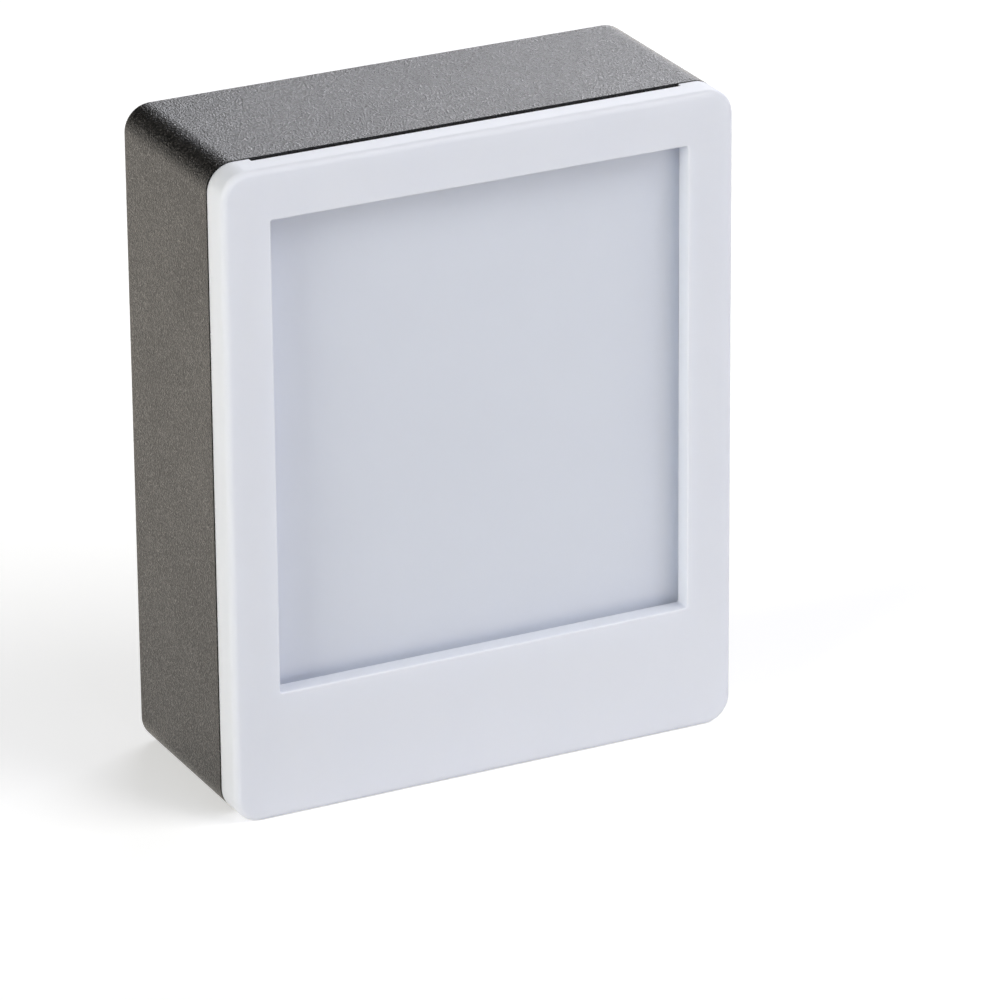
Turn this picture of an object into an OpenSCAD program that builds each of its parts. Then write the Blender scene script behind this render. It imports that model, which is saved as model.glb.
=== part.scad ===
// Lighted photo frame. A deep black housing carries a translucent white bezel with a recessed window.
// A photo sheet drops through the slot between the two, and a battery light shines through it.
// Millimetres, +Z up, the front faces -Y, and the origin is the middle of the base.

/* [Overall] */
// Width of the frame
frame_w = 100; // [98:1:120]
// Height of the frame
frame_h = 123; // [120:1:150]
// Depth from the front face to the back
frame_d = 42; // [38:0.5:60]
// Radius of the four corners, seen from the front
corner_r = 5; // [4:0.5:8]

/* [Housing] */
// Thickness of the housing walls
wall = 2; // [1.8:0.1:2.6]
// Rounding of the edge round the back
back_edge_r = 1; // [0.4:0.1:1.6]
// Width of the shadow groove at the seam
seam_groove_w = 0.5; // [0.2:0.1:0.8]
// Depth of the shadow groove at the seam
seam_groove_d = 0.8; // [0.2:0.1:1]

/* [Bezel] */
// Thickness of the bezel's front and skirt
bezel_t = 2; // [1.6:0.1:2.4]
// Rounding of the bezel's front edge
bezel_edge_r = 1.2; // [0.8:0.1:2]
// Thickness of the flange, the rails and the ledge behind the bezel
rib_t = 1.2; // [1:0.1:1.6]
// Thickness of the tongues that plug into the housing
tongue_t = 1.2; // [1:0.1:1.6]
// Reach of the tongues into the housing
tongue_l = 5; // [4:0.5:8]
// Distance from each end of a side to its tongue
tongue_inset = 14; // [10:1:20]
// Width of a snap hook
hook_w = 8; // [4:1:12]
// How far a snap hook stands out from its tongue
hook_h = 0.8; // [0.5:0.1:1.2]
// Length of a snap hook, front to back
hook_l = 1.8; // [1:0.1:2.5]

/* [Window] */
// Width of the border at each side of the window
border_side = 9.2; // [9:0.1:16]
// Width of the border above the window
border_top = 9.6; // [7:0.1:16]
// Width of the border below the window
border_bottom = 24.2; // [14:0.1:30]
// Depth of the recess in front of the pane
window_recess = 3.5; // [3:0.1:6]
// Radius of the window's inner corners
window_corner_r = 0.4; // [0.2:0.1:2]
// Rounding of the lip round the window
lip_r = 0.3; // [0.3:0.1:1]
// Thickness of the pane
pane_t = 1.5; // [0.8:0.1:2]
// How far the pane reaches past the window's upper and lower edge
pane_lap = 2.2; // [1.5:0.1:3]

/* [Photo slot] */
// Width of the solid lug at each end of the slot
lug_w = 8; // [5.5:0.1:8.5]
// Depth of the channel behind the pane, which is the slot's width at the top
channel_d = 1.1; // [1:0.1:2.5]
// Thickness of the photo sheet
sheet_t = 0.4; // [0.2:0.1:0.6]
// How far the photo sheet's upper edge lies below the top
sheet_drop = 1.5; // [0.5:0.1:4]
// How far the sheet's ledge lies below the window
ledge_drop = 4.4; // [3.5:0.1:6]

/* [Backlight] */
// Thickness of the diffuser
diffuser_t = 1.5; // [1:0.1:2]
// Thickness of the reflector tray
tray_t = 1.2; // [0.8:0.1:1.6]
// How far the tray's sides lean in from its mouth to its floor
tray_lean = 4.5; // [2:0.1:6]
// Width of the flange round the tray's mouth
tray_flange = 2; // [1.5:0.1:3]
// Width of the light board
board_w = 70; // [68:1:74]
// Height of the light board
board_h = 68; // [66:1:74]
// Thickness of the light board
board_t = 1.6; // [1:0.1:2]
// Gap between the light board and the battery well
board_gap = 0.8; // [0.7:0.1:2]
// Distance between the board's screws, across
board_screw_x = 62; // [60:1:64]
// Distance between the board's screws, up and down
board_screw_z = 60; // [58:1:62]
// Diameter of a board screw
board_screw_d = 2.6; // [2:0.1:3]
// Length of a board screw under its head
board_screw_l = 8; // [6:0.5:12]
// Diameter of the posts that carry the board
post_d = 6; // [5:0.5:7]
// Number of lamp rows
led_rows = 3; // [2:1:3]
// Distance between lamp rows
led_row_pitch = 24; // [16:1:28]
// Distance between the two lamp columns
led_column_pitch = 44; // [30:1:48]
// Width and height of a lamp
led_size = 5; // [3:0.5:5]
// Height of a lamp above the board
led_t = 1.6; // [1:0.1:2]
// Length of a resistor
resistor_l = 3.2; // [2:0.1:4]

/* [Batteries] */
// Diameter of a cell
cell_d = 14.5; // [13.5:0.1:14.5]
// Length of a cell with its raised pole
cell_l = 50.5; // [49:0.1:50.5]
// Diameter of the raised pole
pole_d = 5.5; // [4:0.1:5.5]
// Height of the raised pole
pole_h = 1.3; // [1:0.1:2]
// Distance between the cells
cell_pitch = 15; // [14.8:0.1:15.5]
// Height of the battery well's inner end above the base
well_z = 30; // [27:0.5:32]
// Thickness of the battery well's walls
well_t = 1.5; // [1.2:0.1:2]
// Length of a contact spring, squeezed by its cell
spring_l = 5; // [4.5:0.1:6]
// Diameter of the spring wire
spring_wire_d = 0.7; // [0.5:0.05:0.8]
// Radius of a spring at its plate, to the middle of the wire
spring_base_r = 4.3; // [3.5:0.1:4.6]
// Radius of a spring at its cell, to the middle of the wire
spring_tip_r = 2.2; // [1.8:0.1:2.6]
// Thickness of the contact plates
contact_t = 0.4; // [0.3:0.05:0.5]
// Width of a contact plate
contact_w = 11; // [9:0.5:12]
// Width of a solder tab
tab_w = 3; // [2:0.1:4]
// Length of a solder tab outside the well
tab_l = 3; // [2:0.1:4]
// How far a solder tab sits in front of the cell's axis
tab_offset = 4; // [3:0.1:5]
// Diameter of the leads
lead_d = 1.3; // [1:0.1:1.6]

/* [Battery door] */
// How far the door reaches past the well on each side
door_lap = 2.2; // [1.8:0.1:3]
// Radius of the hinge barrel along the door's upper edge
hinge_r = 1.5; // [1.3:0.1:1.8]
// Diameter of the hinge pins
pin_d = 1.4; // [1.2:0.1:1.6]
// Length of the hinge pins
pin_l = 1.4; // [1:0.1:1.6]
// Thickness of the ledge that the door closes on
ledge_t = 2.5; // [2.4:0.1:3.5]
// How far the ledge reaches under the wall round the door
ledge_lap = 2; // [1.8:0.1:3]
// Width of the spring latch
latch_w = 12; // [8:1:16]
// Thickness of the spring latch
latch_t = 1; // [0.8:0.1:1.2]
// Outer radius of the latch's bend
latch_r = 2.5; // [2:0.1:3]
// How far the latch reaches into its pocket
latch_reach = 9; // [7:0.5:11]
// Height of the latch above the door's lower edge
latch_foot = 1; // [0.8:0.1:1.4]
// Thickness of the latch pocket's walls
pocket_t = 1.2; // [1:0.1:1.6]
// Radius of the finger scoop under the latch
scoop_r = 8; // [6:0.5:10]
// Depth of the finger scoop
scoop_d = 1; // [0.6:0.1:1.2]
// Radius of the door's lower corners
door_corner_r = 1.5; // [0.5:0.1:3]
// Width of the grip grooves on the door
groove_l = 18; // [10:1:30]
// Depth of the grip grooves
groove_d = 0.5; // [0.3:0.1:0.8]

/* [Switch] */
// Travel of the switch knob
knob_travel = 3; // [2:0.1:4]
// Width of the switch knob
knob_w = 4; // [3:0.1:5]
// Height of the switch knob
knob_h = 4; // [3:0.1:4.5]
// How far the knob ends below the back of the housing
knob_drop = 0.4; // [0.2:0.1:1]
// Width of the finger pocket round the knob
finger_w = 14; // [12:0.5:15]
// Height of the finger pocket
finger_h = 9; // [7:0.5:10]
// Depth of the finger pocket
finger_d = 2.5; // [2.2:0.1:3]
// Thickness of the finger pocket's floor
finger_floor_t = 1.2; // [1:0.1:1.6]
// Length of the switch's metal frame
switch_frame_w = 23; // [22.5:0.1:25]
// Thickness of the switch's metal frame
switch_frame_t = 0.5; // [0.3:0.05:0.6]
// Distance between the switch screws
switch_screw_pitch = 19; // [18.5:0.1:20]
// Diameter of a switch screw
switch_screw_d = 1.9; // [1.6:0.1:2]
// Length of a switch screw under its head
switch_screw_l = 3; // [2:0.1:3.2]
// Width of the switch body
switch_body_w = 11; // [10:0.1:12]
// Depth of the switch body, front to back
switch_body_d = 5.5; // [5:0.1:7]
// Distance between the switch terminals
terminal_pitch = 3; // [2.5:0.1:3.5]
// Length of the switch terminals
terminal_l = 4; // [3:0.1:5]

/* [Clearances] */
// Clearance round pieces that plug together
fit_gap = 0.15; // [0.1:0.05:0.25]
// Clearance behind the photo sheet
sheet_gap = 0.2; // [0.1:0.05:0.3]
// Clearance at each side of the photo sheet
sheet_side_gap = 0.5; // [0.3:0.1:1]
// Clearance round each cell
cell_gap = 0.3; // [0.2:0.05:0.5]
// Clearance round the battery door
door_gap = 0.3; // [0.2:0.05:0.4]
// Running clearance round the hinge pins
pin_gap = 0.05; // [0.03:0.01:0.08]
// Clearance round the spring latch
latch_gap = 0.5; // [0.4:0.1:0.8]
// Clearance round the switch knob
knob_gap = 0.25; // [0.15:0.05:0.35]
// Clearance round a screw in its pilot hole
screw_gap = 0.05; // [0.02:0.01:0.1]
// Clearance round a screw or a lamp in a plain hole
hole_gap = 0.2; // [0.1:0.05:0.3]

/* [Hidden] */
$fn = 64;
led_count = 2 * led_rows;
cell_count = 3;

// Extra depth with which a cut passes through a face
through = 1;

// Places along the depth are front coordinates: they grow from the back towards the front, and 0 is mid depth.
bezel_d = window_recess + pane_t + channel_d;
housing_d = frame_d - bezel_d;
front_f = frame_d / 2;
back_f = -frame_d / 2;
seam_f = front_f - bezel_d;
bezel_back_f = front_f - bezel_t;
inner_back_f = back_f + wall;
pane_f = seam_f + channel_d;
sheet_f = seam_f + sheet_gap;
diffuser_f = seam_f - diffuser_t;
cell_f = inner_back_f + cell_gap + cell_d / 2;
well_floor_f = cell_f + cell_d / 2 + cell_gap;
well_front_f = well_floor_f + well_t;
board_f = well_front_f + board_gap;
tray_f = board_f + board_t;
tray_floor_f = tray_f + tray_t;

// Window, rails and photo sheet
window_w = frame_w - 2 * border_side;
window_h = frame_h - border_top - border_bottom;
window_mid_z = border_bottom + window_h / 2;
rail_x = frame_w / 2 - lug_w;
ledge_z = border_bottom - ledge_drop;
sheet_w = 2 * (rail_x - sheet_side_gap);
sheet_z = [ledge_z + sheet_gap, frame_h - sheet_drop];
pane_w = 2 * (rail_x - fit_gap);

// Tray mouth and diffuser, inside the tongues
mouth_w = frame_w - 2 * (wall + tongue_t + 2 * fit_gap);
mouth_h = frame_h - 2 * (wall + tongue_t + 2 * fit_gap);
flare_w = mouth_w - 2 * tray_flange;
flare_h = mouth_h - 2 * tray_flange;
tray_floor_w = flare_w - 2 * tray_lean;
tray_floor_h = flare_h - 2 * tray_lean;

// Round holes in the tray's floor, each clear of a square lamp's corners
led_hole_d = led_size * sqrt(2) + 2 * hole_gap;

// Battery well, from its inner faces
well_w = (cell_count - 1) * cell_pitch + cell_d + 2 * cell_gap;
well_l = cell_l + spring_l + 2 * contact_t;
well_top_z = well_z + well_l;
plate_z = [well_z + contact_t, well_top_z - contact_t];
tab_f = cell_f + tab_offset;

// Door, hinge and latch
door_t = wall;
door_w = well_w + 2 * door_lap;
door_z = well_z - well_t - latch_gap - 2 * latch_r - latch_foot;
hinge_z = well_top_z + well_t / 2 + hinge_r + door_gap;
door_top_z = hinge_z + hinge_r;
hinge_f = back_f + hinge_r;
latch_z = door_z + latch_foot + latch_r;
latch_bend_f = inner_back_f + latch_reach - latch_r;
latch_pad_t = 1.4;
latch_pad_h = 3.2;
latch_hook_l = 1.2;
notch_h = latch_foot + 2 * latch_r - latch_t;
groove_count = 3;
groove_w = 0.9;
groove_pitch = 2.4;

// Switch, midway between the door and the top, from the finger pocket inwards
switch_z = (door_top_z + frame_h) / 2;
finger_floor_f = back_f + finger_d;
switch_f = finger_floor_f + finger_floor_t;
switch_body_f = switch_f + switch_frame_t;
terminal_f = switch_body_f + switch_body_d;
terminal_end_f = terminal_f + terminal_l;
switch_wall_t = 0.7;
switch_body_h = knob_h + 2 * switch_wall_t;
switch_cheek_w = 9;
switch_cheek_d = 4.5;
cup_margin = 0.5;
cup_w = switch_frame_w + 2 * cup_margin;
cup_h = finger_h + 2 * finger_floor_t;
knob_cavity_d = 3.8;
terminal_w = 1;
terminal_t = 0.4;
finger_r = 2;

// Screw heads: width and height as multiples of the shank, and the cross recess
head_ratio = 1.9;
head_h_ratio = 0.6;

// Lead routes: each starts at a solder tab or a terminal and ends square to the next one.
lead_stub = 1.6;
lead_rise = 3;
lead_bow = 2;
lead_sag = 6;
lead_swing = 5;
lead_room = 2.2;
pad_x = 6;
pad_margin = 4;
pad_drop = 16;
positive_end = [-cell_pitch, tab_f, well_top_z + well_t + tab_l];
negative_end = [cell_pitch, tab_f, well_z - well_t - tab_l];
side_x = well_w / 2 + well_t + lead_room;
supply_pad = [pad_x, board_f, window_mid_z + board_h / 2 - pad_margin];
return_pad = [side_x, board_f, window_mid_z - pad_drop];
battery_switch_route = [
    positive_end,
    positive_end + [0, 0, lead_rise],
    [-cell_pitch + lead_bow, tab_f + lead_bow, switch_z - lead_swing],
    [-terminal_pitch - lead_swing, terminal_end_f + lead_rise, switch_z - lead_bow / 2],
    [-terminal_pitch, terminal_end_f + lead_stub, switch_z],
    [-terminal_pitch, terminal_end_f, switch_z]
];
switch_board_route = [
    [0, terminal_end_f, switch_z],
    [0, terminal_end_f + lead_stub, switch_z],
    [pad_x / 2, (terminal_end_f + board_f) / 2, (switch_z + supply_pad[2]) / 2],
    supply_pad - [0, lead_stub, 0],
    supply_pad
];
battery_board_route = [
    negative_end,
    negative_end - [0, 0, lead_rise],
    [(cell_pitch + side_x) / 2, tab_f, negative_end[2] - lead_sag],
    [side_x, tab_f, well_z - lead_swing],
    [side_x, tab_f, well_z + lead_swing],
    return_pad - [0, lead_rise + lead_stub, lead_sag],
    return_pad - [0, lead_stub, 0],
    return_pad
];

// Helpers

// Stands a front view up: x stays, y becomes the height, z becomes the front coordinate.
module upright() {
    rotate([90, 0, 0]) children();
}

// An outline of the front view, solid between two front coordinates.
module slab(f0, f1) {
    upright() translate([0, 0, f0]) linear_extrude(f1 - f0) children();
}

// A block between two limits along x, the front coordinate and z.
module block(x, f, z) {
    translate([x[0], -f[1], z[0]]) cube([x[1] - x[0], f[1] - f[0], z[1] - z[0]]);
}

// A side view, drawn in y and z, solid over a length along x.
module along_x(length) {
    rotate([90, 0, 90]) linear_extrude(length, center = true) children();
}

module mirrored() {
    children();
    mirror([1, 0, 0]) children();
}

module round_rect(w, h, r) {
    square([w - 2 * r, h], center = true);
    square([w, h - 2 * r], center = true);
    for (x = [-1, 1], y = [-1, 1])
        translate([x * (w / 2 - r), y * (h / 2 - r)]) circle(r);
}

// Sweeps a profile round a rounded rectangle. The profile's x runs outwards from the corner's axis.
module rim(w, h, r) {
    for (turn = [0:3]) {
        across = turn % 2 == 0 ? w : h;
        along = turn % 2 == 0 ? h : w;
        rotate(90 * turn) translate([across / 2 - r, 0, 0]) {
            rotate([90, 0, 0]) linear_extrude(along - 2 * r, center = true) children();
            translate([0, along / 2 - r, 0]) rotate_extrude(angle = 90) children();
        }
    }
}

// A block that widens from a lower rectangle to an upper one.
module flared_block(w0, h0, w1, h1, height) {
    corners = [[-1, -1], [1, -1], [1, 1], [-1, 1]] / 2;
    polyhedron(
        points = concat(
            [for (c = corners) [c[0] * w0, c[1] * h0, 0]],
            [for (c = corners) [c[0] * w1, c[1] * h1, height]]
        ),
        faces = concat(
            [[0, 1, 2, 3], [7, 6, 5, 4]],
            [for (i = [0:3]) [i, i + 4, (i + 1) % 4 + 4, (i + 1) % 4]]
        )
    );
}

// A pan head screw along the front coordinate, with the underside of its head at 0.
module pan_screw(d, length) {
    head_h = d * head_h_ratio;
    upright() difference() {
        union() {
            cylinder(d = d * head_ratio, h = head_h);
            translate([0, 0, -length]) cylinder(d = d, h = length);
        }
        for (turn = [0, 90])
            rotate(turn) translate([0, 0, head_h]) cube([d, d / 4, head_h], center = true);
    }
}

function unit(v) = v / norm(v);

function tangent(path, i) = unit(path[min(i + 1, len(path) - 1)] - path[max(i - 1, 0)]);

// A direction square to the path at each point, carried along it without twisting.
function carried_normals(path, start) = [
    for (
        i = 0, n = unit(start - (start * tangent(path, 0)) * tangent(path, 0));
        i < len(path);
        i = i + 1,
        t = tangent(path, min(i, len(path) - 1)),
        n = unit(n - (n * t) * t)
    ) n
];

// A round tube swept along a path.
module tube(path, d, sides, start) {
    normals = carried_normals(path, start);
    rings = [
        for (i = [0:len(path) - 1], s = [0:sides - 1])
            let (a = 360 * s / sides, n = normals[i], b = cross(tangent(path, i), n))
            path[i] + d / 2 * (cos(a) * n + sin(a) * b)
    ];
    last = (len(path) - 1) * sides;
    polyhedron(
        points = rings,
        faces = concat(
            [for (s = [1:sides - 2]) [0, s, s + 1]],
            [for (s = [1:sides - 2]) [last, last + s + 1, last + s]],
            [
                for (i = [0:len(path) - 2], s = [0:sides - 1], half = [0, 1])
                    let (a = i * sides + s, b = i * sides + (s + 1) % sides)
                    half == 0 ? [a, a + sides, b] : [b, a + sides, b + sides]
            ]
        )
    );
}

// A smooth curve through the points of a route, with a few steps from each point to the next.
// Its first and last stretch stay straight.
function curve_point(p, q, r, s, t) =
    (2 * q + (r - p) * t + (2 * p - 5 * q + 4 * r - s) * t * t + (3 * q - p - 3 * r + s) * t * t * t) / 2;

function smooth_route(points, steps) = let (last = len(points) - 1) concat(
    [points[0]],
    [
        for (i = [1:last - 2], k = [0:steps - 1])
            curve_point(points[i - 1], points[i], points[i + 1], points[i + 2], k / steps)
    ],
    [points[last - 1], points[last]]
);

// A lead along a route whose points are given as x, front coordinate and z.
module lead(route) {
    tube(smooth_route([for (p = route) [p[0], -p[1], p[2]]], 3), lead_d, 8, [1, 0.3, 0.2]);
}

// Bezel

module bezel_profile() {
    translate([corner_r - bezel_t, 0]) square([bezel_t, bezel_d - bezel_edge_r]);
    translate([0, bezel_d - bezel_t]) square([corner_r - bezel_edge_r, bezel_t]);
    translate([corner_r - bezel_edge_r, bezel_d - bezel_edge_r]) circle(bezel_edge_r);
}

module window_flange_profile() {
    translate([window_corner_r, 0]) square([rib_t, window_recess - lip_r]);
    translate([window_corner_r + lip_r, 0]) square([rib_t - lip_r, window_recess]);
    translate([window_corner_r + lip_r, window_recess - lip_r]) circle(lip_r);
}

// The hooks of one tongue, in the front view, for a side that lies at the given reach below the middle.
module hooks(reach, length, grow) {
    for (side = [-1, 1])
        translate([
            side * length / 4 - hook_w / 2 - grow,
            -reach + wall + fit_gap - hook_h - grow,
            seam_f - tongue_l + hook_l / 2 - grow
        ])
            cube([hook_w + 2 * grow, hook_h + 2 * grow, hook_l + 2 * grow]);
}

module tongue(reach, length) {
    foot = wall + fit_gap + tongue_t;
    translate([-length / 2, -reach + wall + fit_gap, seam_f - tongue_l])
        cube([length, tongue_t, tongue_l + bezel_d - bezel_t / 2]);
    translate([-length / 2, -reach + bezel_t / 2, seam_f])
        cube([length, foot - bezel_t / 2, bezel_d - bezel_t / 2]);
    hooks(reach, length, 0);
}

// Places children for the bottom and the two sides: a tongue on each, none along the slot at the top.
module tongue_sides() {
    upright() translate([0, frame_h / 2, 0]) children(0);
    for (turn = [-90, 90])
        upright() translate([0, frame_h / 2, 0]) rotate(turn) children(1);
}

module front_bezel() {
    side_l = frame_h - 2 * tongue_inset;
    bottom_l = frame_w - 2 * tongue_inset;
    rib_f = [seam_f, front_f - bezel_t / 2];
    color("ghostwhite") {
        difference() {
            upright() translate([0, frame_h / 2, seam_f]) rim(frame_w, frame_h, corner_r) bezel_profile();
            block([-rail_x, rail_x], [seam_f - through, pane_f], [frame_h - 2 * bezel_t, frame_h + through]);
        }
        slab(bezel_back_f, front_f) difference() {
            translate([0, frame_h / 2]) square([frame_w - 2 * corner_r, frame_h - 2 * corner_r], center = true);
            translate([0, window_mid_z])
                round_rect(window_w + 2 * rib_t, window_h + 2 * rib_t, window_corner_r + rib_t);
        }
        upright() translate([0, window_mid_z, front_f - window_recess])
            rim(window_w + 2 * rib_t, window_h + 2 * rib_t, window_corner_r + rib_t) window_flange_profile();
        mirrored() block([rail_x, rail_x + rib_t], rib_f, [ledge_z - rib_t, frame_h - bezel_t / 2]);
        block([-rail_x - rib_t, rail_x + rib_t], rib_f, [ledge_z - rib_t, ledge_z]);
        tongue_sides() {
            tongue(frame_h / 2, bottom_l);
            tongue(frame_w / 2, side_l);
        }
    }
}

module window_pane() {
    color("lightcyan", 0.4) slab(pane_f, pane_f + pane_t) translate([0, window_mid_z])
        square([pane_w, window_h + 2 * pane_lap], center = true);
}

module photo_sheet() {
    color("aliceblue") block([-sheet_w / 2, sheet_w / 2], [sheet_f, sheet_f + sheet_t], sheet_z);
}

// Backlight

module diffuser_panel() {
    color("white") slab(diffuser_f, seam_f) translate([0, frame_h / 2])
        square([mouth_w, mouth_h], center = true);
}

module reflector_tray() {
    depth = diffuser_f - tray_f;
    color("whitesmoke") difference() {
        union() {
            upright() translate([0, frame_h / 2, tray_f])
                flared_block(tray_floor_w, tray_floor_h, flare_w, flare_h, depth);
            slab(diffuser_f - tray_t, diffuser_f) translate([0, frame_h / 2])
                square([mouth_w, mouth_h], center = true);
        }
        upright() translate([0, frame_h / 2, tray_floor_f])
            flared_block(
                tray_floor_w - 2 * tray_t, tray_floor_h - 2 * tray_t,
                flare_w - 2 * tray_t, flare_h - 2 * tray_t, depth - tray_t
            );
        for (i = [1:led_count])
            translate(led_place(i)) upright()
                translate([0, 0, tray_f - through]) cylinder(d = led_hole_d, h = tray_t + 2 * through);
        board_screw_holes(tray_f, tray_floor_f);
    }
}

function led_place(i) = [
    ((i - 1) % 2 - 0.5) * led_column_pitch,
    0,
    window_mid_z + (floor((i - 1) / 2) - (led_rows - 1) / 2) * led_row_pitch
];

// Clearance holes for the board screws, through everything between two front coordinates.
module board_screw_holes(f0, f1) {
    at_board_screws() upright() translate([0, 0, f0 - through])
        cylinder(d = board_screw_d + 2 * hole_gap, h = f1 - f0 + 2 * through);
}

module at_board_screws() {
    for (x = [-1, 1], z = [-1, 1])
        translate([x * board_screw_x / 2, 0, window_mid_z + z * board_screw_z / 2]) children();
}

module led_board() {
    color("seagreen") difference() {
        slab(board_f, tray_f) translate([0, window_mid_z]) square([board_w, board_h], center = true);
        board_screw_holes(board_f, tray_f);
    }
}

module led(i) {
    lens_d = led_size * 0.8;
    lens_h = led_t * 0.15;
    color("lemonchiffon") translate(led_place(i)) {
        slab(tray_f, tray_f + led_t - lens_h) square(led_size, center = true);
        upright() translate([0, 0, tray_f + led_t - lens_h]) cylinder(d = lens_d, h = lens_h);
    }
}

// The resistors lie on the back of the board, beside the battery well, one for each row of lamps.
module board_resistors() {
    resistor_w = resistor_l / 2;
    resistor_h = min(resistor_l / 5, board_gap - 2 * screw_gap);
    color("dimgray")
        for (row = [0:led_rows - 1])
            translate([-side_x - resistor_l / 2, 0, led_place(2 * row + 1)[2]])
                slab(board_f - resistor_h, board_f) square([resistor_l, resistor_w], center = true);
}

module board_screws() {
    color("silver") at_board_screws() translate([0, -tray_floor_f, 0]) pan_screw(board_screw_d, board_screw_l);
}

// Housing

module housing_profile() {
    difference() {
        union() {
            translate([corner_r - wall, back_edge_r]) square([wall, housing_d - back_edge_r]);
            square([corner_r - back_edge_r, wall]);
            translate([corner_r - back_edge_r, back_edge_r]) circle(back_edge_r);
        }
        translate([corner_r - seam_groove_d, housing_d - seam_groove_w])
            square([seam_groove_d + through, seam_groove_w + through]);
    }
}

module door_outline(grow) {
    mid_z = (door_z + hinge_z) / 2;
    translate([0, mid_z])
        round_rect(door_w + 2 * grow, hinge_z - door_z + 2 * grow, door_corner_r + grow);
    translate([-door_w / 2 - grow, mid_z]) square([door_w + 2 * grow, (hinge_z - door_z) / 2]);
}

// The battery well, the ledge under the door, the latch pocket and the switch's cup, before they are hollowed.
module inner_walls() {
    ledge_x = door_w / 2 + door_gap + ledge_lap;
    pocket_x = latch_w / 2 + latch_gap + pocket_t;
    root_f = back_f + wall / 2;
    block(
        [-well_w / 2 - well_t, well_w / 2 + well_t],
        [root_f, well_front_f],
        [well_z - well_t, well_top_z + well_t]
    );
    block(
        [-ledge_x, ledge_x],
        [root_f, inner_back_f + ledge_t],
        [door_z - door_gap - ledge_lap, door_top_z + door_gap + ledge_lap]
    );
    block(
        [-pocket_x, pocket_x],
        [root_f, latch_bend_f + latch_r + latch_gap + pocket_t],
        [door_z - door_gap - pocket_t, well_z]
    );
    block([-cup_w / 2, cup_w / 2], [root_f, switch_f], [switch_z - cup_h / 2, switch_z + cup_h / 2]);
    at_board_screws() upright() translate([0, 0, root_f]) cylinder(d = post_d, h = board_f - root_f);
}

module battery_openings() {
    pocket_x = latch_w / 2 + latch_gap;
    block([-well_w / 2, well_w / 2], [back_f - through, well_floor_f], [well_z, well_top_z]);
    block(
        [-pocket_x, pocket_x],
        [back_f - through, latch_bend_f + latch_r + latch_gap],
        [door_z - door_gap, well_z - well_t]
    );
    slab(back_f - through, inner_back_f) door_outline(door_gap);
    block(
        [-door_w / 2 - door_gap, door_w / 2 + door_gap],
        [back_f - through, hinge_f],
        [hinge_z, door_top_z + door_gap]
    );
    translate([0, -hinge_f, hinge_z]) {
        along_x(door_w + 2 * door_gap) circle(hinge_r + door_gap);
        along_x(door_w + 2 * pin_l + 2 * door_gap) circle(d = pin_d + 2 * pin_gap);
    }
    upright() translate([0, door_z - door_gap, back_f - through]) cylinder(r = scoop_r, h = through + scoop_d);
    for (end = [positive_end, negative_end])
        translate([end[0], -end[1], end[2]])
            cube(
                [tab_w + 2 * fit_gap, contact_t + 2 * fit_gap, 2 * (tab_l + well_t + contact_t)],
                center = true
            );
}

module switch_openings() {
    slab(back_f - through, finger_floor_f) translate([0, switch_z]) round_rect(finger_w, finger_h, finger_r);
    knob_window(back_f, switch_f + through);
    for (x = [-1, 1])
        translate([x * switch_screw_pitch / 2, 0, switch_z]) upright()
            translate([0, 0, switch_f - switch_screw_l - hole_gap])
                cylinder(d = switch_screw_d + 2 * screw_gap, h = switch_screw_l + through);
}

// The way in which the knob slides, between two front coordinates.
module knob_window(f0, f1) {
    slab(f0, f1) translate([0, switch_z])
        square([knob_w + knob_travel + 2 * knob_gap, knob_h + 2 * knob_gap], center = true);
}

module housing() {
    color("dimgray") difference() {
        union() {
            upright() translate([0, frame_h / 2, back_f]) {
                rim(frame_w, frame_h, corner_r) housing_profile();
                linear_extrude(wall) square([frame_w - 2 * corner_r, frame_h - 2 * corner_r], center = true);
            }
            inner_walls();
        }
        battery_openings();
        switch_openings();
        at_board_screws() upright() translate([0, 0, tray_floor_f - board_screw_l - hole_gap])
            cylinder(d = board_screw_d + 2 * screw_gap, h = board_screw_l + through);
        tongue_sides() {
            hooks(frame_h / 2, frame_w - 2 * tongue_inset, fit_gap);
            hooks(frame_w / 2, frame_h - 2 * tongue_inset, fit_gap);
        }
    }
}

// Battery door

module latch_profile() {
    translate([-latch_bend_f, latch_z]) difference() {
        circle(latch_r);
        circle(latch_r - latch_t);
        translate([0, -2 * latch_r]) square([2 * latch_r, 4 * latch_r]);
    }
    translate([-latch_bend_f, latch_z + latch_r - latch_t])
        square([latch_bend_f - inner_back_f + door_t / 2, latch_t]);
    translate([-latch_bend_f, latch_z - latch_r]) square([latch_bend_f - back_f, latch_t]);
    translate([-back_f - latch_pad_t, latch_z - latch_r]) square([latch_pad_t, latch_pad_h]);
    translate([-inner_back_f - 2 * latch_hook_l, door_z]) square([latch_hook_l, latch_foot + latch_t / 2]);
}

module battery_door() {
    notch_w = latch_w + 2 * latch_gap;
    color("dimgray") {
        difference() {
            union() {
                slab(back_f, back_f + door_t) door_outline(0);
                translate([0, -hinge_f, hinge_z]) along_x(door_w) circle(hinge_r);
                translate([0, -hinge_f, hinge_z]) along_x(door_w + 2 * pin_l) circle(d = pin_d);
            }
            block(
                [-notch_w / 2, notch_w / 2],
                [back_f - through, inner_back_f + through],
                [door_z - through, door_z + notch_h]
            );
            for (i = [1:groove_count])
                translate([0, -back_f, door_z + notch_h + i * groove_pitch])
                    cube([groove_l, 2 * groove_d, groove_w], center = true);
        }
        along_x(latch_w) latch_profile();
    }
}

// Batteries and contacts

function cell_x(i) = (i - 2) * cell_pitch;

// The middle cell stands on its raised pole, and the other two have theirs at the top.
function cell_flipped(i) = i == 2;

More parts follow.
